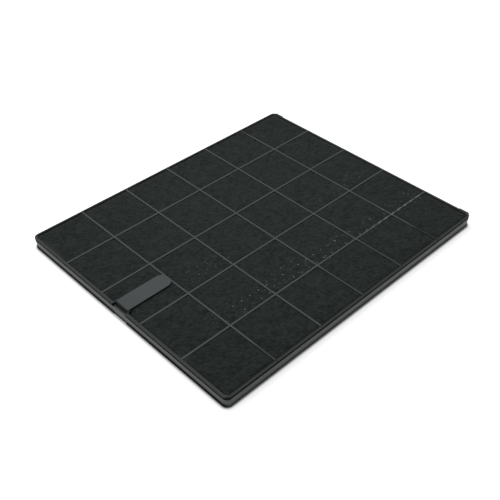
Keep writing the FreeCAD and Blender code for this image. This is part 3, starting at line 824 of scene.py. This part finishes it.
# The painted glints of the specks and the dashes go over the cover's colour.
tree.links.new(blend(tree, marks, base_colour(shader), SPECK_GLINT_COLOUR), shader.inputs["Base Color"])
print("dashes on the rib at Y", round(DASHED_RIB / MM, 1), "mm")

# %% [markdown]
# ## Dressing the rigid pieces
#
# The solids already have the right shape, so they keep their meshes and only get a finish.

# %% Finish the solids
def dress(node, finish):
    """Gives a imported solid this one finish."""
    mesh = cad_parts[node].data
    mesh.materials.clear()
    mesh.materials.append(finish)


dress("cover_grille", cover_finish)
dress("base_tray", tray_finish)
dress("chamber_lattice", lattice_finish)
dress("pull_tab", tab_finish)
charges = sorted(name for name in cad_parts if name.startswith("carbon_charge"))
for charge in charges:
    dress(charge, carbon_finish)
print("dressed 4 mouldings and", len(charges), "charges")

# %% [markdown]
# ## Cutting the fleece sheet
#
# A fleece sheet starts as one flat plane with rounded corners. It is cut across at chosen places,
# close together beside each rib, where the sheet bends sharply, and wider apart in the middle of a
# cell. Bisect does this cut by cut, and leaves a clean mesh of rectangles. Plain subdivision would
# need far more faces to put edges where the ribs are.

# %% Cut lines
# Distances from a rib's middle, in millimetres
BESIDE_RIB = (0.78, 0.86, 0.98, 1.4, 3.0, 6.0, 10.0, 14.0, 18.2)
EDGE_LEFT = 0.2 * MM
CORNER_STEPS = 4


def cut_places(count):
    """Where the cuts go in one direction: beside both sides of every rib, and mid cell."""
    places = []
    for rib in rib_places(count):
        for distance in BESIDE_RIB:
            places += [rib - distance * MM, rib + distance * MM]
    return sorted(places + [rib + CELL / 2 for rib in rib_places(count)[:-1]])


def cut_sheet(name, half_x, half_y, corner, level):
    """A flat sheet with rounded corners, cut into small rectangles along the grid."""
    bpy.ops.object.select_all(action="DESELECT")
    bpy.ops.mesh.primitive_plane_add(size=2, location=(0, 0, level), scale=(1, 1, 1))
    sheet = bpy.context.object
    sheet.name = name
    sheet.scale = (half_x, half_y, 1)
    bpy.ops.object.transform_apply(location=True, rotation=True, scale=True)
    bpy.ops.object.mode_set(mode="EDIT")
    bpy.ops.mesh.select_all(action="SELECT")
    bpy.ops.mesh.bevel(offset=corner, offset_type="OFFSET", affect="VERTICES", segments=CORNER_STEPS)
    for count, half, normal in ((COLUMNS, half_x, (1, 0, 0)), (ROWS, half_y, (0, 1, 0))):
        for at in cut_places(count):
            if abs(at) < half - EDGE_LEFT:
                bpy.ops.mesh.select_all(action="SELECT")
                bpy.ops.mesh.bisect(plane_co=Vector(normal) * at, plane_no=normal)
    bpy.ops.object.mode_set(mode="OBJECT")
    print(name, "is cut into", len(sheet.data.polygons), "faces")
    return sheet


# %% Both sheets, still flat
UPPER_CORNER = CORNER - 1 * MM
LOWER_CORNER = 3 * MM
UPPER_LEVEL = upper_low.z + PINCHED
LOWER_LEVEL = lower_high.z - PINCHED

upper_sheet = cut_sheet("fleece_top", upper_high.x, upper_high.y, UPPER_CORNER, UPPER_LEVEL)
lower_sheet = cut_sheet("fleece_bottom", lower_high.x, lower_high.y, LOWER_CORNER, LOWER_LEVEL)

# %% [markdown]
# ## Puffing it up between the ribs
#
# The ribs pinch the fleece to a thin felt, and right beside them it swells to its full height. So
# the height at a point depends on how far it is from the nearest rib in each direction, through a
# smooth step. Each cell is stuffed a little differently, and the hinge barrel of the tab presses the
# fleece down at the notch.

# %% Height of the fleece
BESIDE = 0.78 * MM
SLOPE = 0.22 * MM
LEDGE = 3.6 * MM
FRAME_OVERLAP = 0.05 * MM
HINGE_END = -129.3 * MM
HINGE_HALF = 8.6 * MM
HINGE_MARGIN = 2 * MM
HINGE_SLOPE = 0.8 * MM


def smooth(share):
    """A smooth step from 0 to 1."""
    share = min(max(share, 0.0), 1.0)
    return share * share * (3 - 2 * share)


def from_rib(at, count, edge):
    """How far this place is from the nearest rib or from the frame's inner edge."""
    to_frame = edge - abs(at) + BESIDE - FRAME_OVERLAP
    return min(min(abs(at - rib) for rib in rib_places(count)), to_frame)


def fullness(x, y, edge_x, edge_y):
    """From 0 under a rib to 1 where the fleece has its full height."""
    across = smooth((from_rib(x, COLUMNS, edge_x) - BESIDE) / SLOPE)
    along = smooth((from_rib(y, ROWS, edge_y) - BESIDE) / SLOPE)
    return across * along


def hinge_relief(x, y):
    """From 0 under the tab's hinge to 1 away from it."""
    if abs(y) >= HINGE_HALF + HINGE_MARGIN:
        return 1.0
    return smooth(max(x - HINGE_END, abs(y) - HINGE_HALF) / HINGE_SLOPE)


print("fleece rises over", SLOPE / MM, "mm beside a rib")

# %% Puff the sheets
UPPER_PUFF = 1.5 * MM
LOWER_PUFF = -1.2 * MM
STUFFING = (0.94, 1.0)
STILL_FLAT = 0.02


def puff(sheet, height, edge_x, edge_y, hinge):
    """Raises each cell of the sheet and pins what lies under the ribs. A negative height puffs down."""
    stuffing = {}
    pinned = []
    for vertex in sheet.data.vertices:
        x, y = vertex.co.x, vertex.co.y
        full = fullness(x, y, edge_x, edge_y)
        if hinge:
            full *= hinge_relief(x, y)
        cell = (math.floor(x / CELL), math.floor(y / CELL + 0.5))
        stuffing.setdefault(cell, random.uniform(*STUFFING))
        vertex.co.z += height * full * stuffing[cell]
        if full < STILL_FLAT:
            pinned.append(vertex.index)
    sheet.vertex_groups.new(name="pinned").add(pinned, 1.0, "REPLACE")
    print(sheet.name, "puffed by", height / MM, "mm,", len(pinned), "points pinned")


puff(upper_sheet, UPPER_PUFF, HALF_LENGTH - RIM, HALF_WIDTH - RIM, hinge=True)
puff(lower_sheet, LOWER_PUFF, HALF_LENGTH - LEDGE, HALF_WIDTH - LEDGE, hinge=False)

# %% [markdown]
# ## Letting the cloth settle
#
# The cells would all be alike and too neat. A short cloth simulation with a little slack and a
# gentle pressure from inside lets the free parts swell and pucker, while the pinned parts stay.
# How far a point may move is capped afterwards, so that the fleece stays below the ribs.

# %% Cloth settings
STEPS = 20
SLACK = -0.012
PRESSURE = 2.0
POINT_MASS = 0.02
STIFFNESS = 8
BENDING = 0.05
QUALITY = 5


def add_cloth(sheet, upward):
    """Adds the cloth modifier to this sheet, with pressure on the side that it puffs to."""
    bpy.ops.object.select_all(action="DESELECT")
    sheet.select_set(True)
    bpy.context.view_layer.objects.active = sheet
    bpy.ops.object.modifier_add(type="CLOTH")
    cloth = sheet.modifiers[-1]
    cloth.settings.vertex_group_mass = "pinned"
    cloth.settings.quality = QUALITY
    cloth.settings.mass = POINT_MASS
    cloth.settings.tension_stiffness = STIFFNESS
    cloth.settings.compression_stiffness = STIFFNESS
    cloth.settings.bending_stiffness = BENDING
    cloth.settings.shrink_min = SLACK
    cloth.settings.use_pressure = True
    cloth.settings.uniform_pressure_force = PRESSURE * upward
    cloth.settings.effector_weights.gravity = 0
    cloth.collision_settings.use_collision = False
    cloth.point_cache.frame_start = 1
    cloth.point_cache.frame_end = STEPS
    return cloth


print("cloth runs", STEPS, "steps")

# %% Simulate the sheets
CAP = 0.15 * MM


def settle(sheet, upward):
    """Runs the cloth on this sheet and applies it, with every point's move capped."""
    start = [vertex.co.copy() for vertex in sheet.data.vertices]
    cloth = add_cloth(sheet, upward)
    for step in range(1, STEPS + 1):
        bpy.context.scene.frame_set(step)
    bpy.ops.object.modifier_apply(modifier=cloth.name)
    bpy.context.scene.frame_set(1)
    moved = 0.0
    for vertex, rest in zip(sheet.data.vertices, start):
        move = vertex.co - rest
        moved = max(moved, move.length)
        if move.length > CAP:
            move *= CAP / move.length
        vertex.co = rest + move
    print(sheet.name, "moved by up to", round(moved / MM, 2), "mm before the cap")


settle(upper_sheet, 1)
settle(lower_sheet, -1)

# %% [markdown]
# ## Giving the sheets their thickness
#
# The simulated surface is only the outer face. Extruding the whole sheet towards the carbon and
# flattening the new face on the plane that the charges reach closes it into a solid felt. One level
# of subdivision rounds it, and a fine seeded noise makes the surface as uneven as a real mat.

# %% Close and round the sheets
UNEVEN = 0.05 * MM
UNEVEN_SIZE = 5 * MM
PUFFED_PAST = PINCHED + 0.3 * MM


def close_sheet(sheet, base, finish):
    """Extrudes the sheet to the plane at this height, rounds it and roughens its outer face."""
    bpy.ops.object.select_all(action="DESELECT")
    sheet.select_set(True)
    bpy.context.view_layer.objects.active = sheet
    bpy.ops.object.mode_set(mode="EDIT")
    bpy.ops.mesh.select_mode(type="FACE")
    bpy.ops.mesh.select_all(action="SELECT")
    bpy.ops.mesh.extrude_region_move(TRANSFORM_OT_translate={"value": (0, 0, 0)})
    bpy.ops.transform.resize(value=(1, 1, 0), center_override=(0, 0, base))
    bpy.ops.mesh.select_all(action="SELECT")
    bpy.ops.mesh.normals_make_consistent(inside=False)
    bpy.ops.object.mode_set(mode="OBJECT")
    bpy.ops.object.modifier_add(type="SUBSURF")
    sheet.modifiers[-1].levels = 1
    sheet.modifiers[-1].render_levels = 1
    bpy.ops.object.modifier_apply(modifier=sheet.modifiers[-1].name)
    for vertex in sheet.data.vertices:
        if abs(vertex.co.z - base) > PUFFED_PAST:
            vertex.co.z += UNEVEN * noise.noise(vertex.co / UNEVEN_SIZE)
    bpy.ops.object.shade_smooth()
    sheet.data.materials.append(finish)
    low = min(vertex.co.z for vertex in sheet.data.vertices)
    high = max(vertex.co.z for vertex in sheet.data.vertices)
    print(sheet.name, "from", round(low / MM, 2), "to", round(high / MM, 2), "mm high")


close_sheet(upper_sheet, upper_low.z, fleece_finish)
close_sheet(lower_sheet, lower_high.z, fleece_finish)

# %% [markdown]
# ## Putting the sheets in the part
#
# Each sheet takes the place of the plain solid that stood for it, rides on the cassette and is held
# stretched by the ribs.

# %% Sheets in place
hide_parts("upper_fleece")
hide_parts("lower_fleece")
for sheet, half in ((upper_sheet, upper_high), (lower_sheet, lower_high)):
    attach(sheet, "cassette")
print("both sheets are in place")
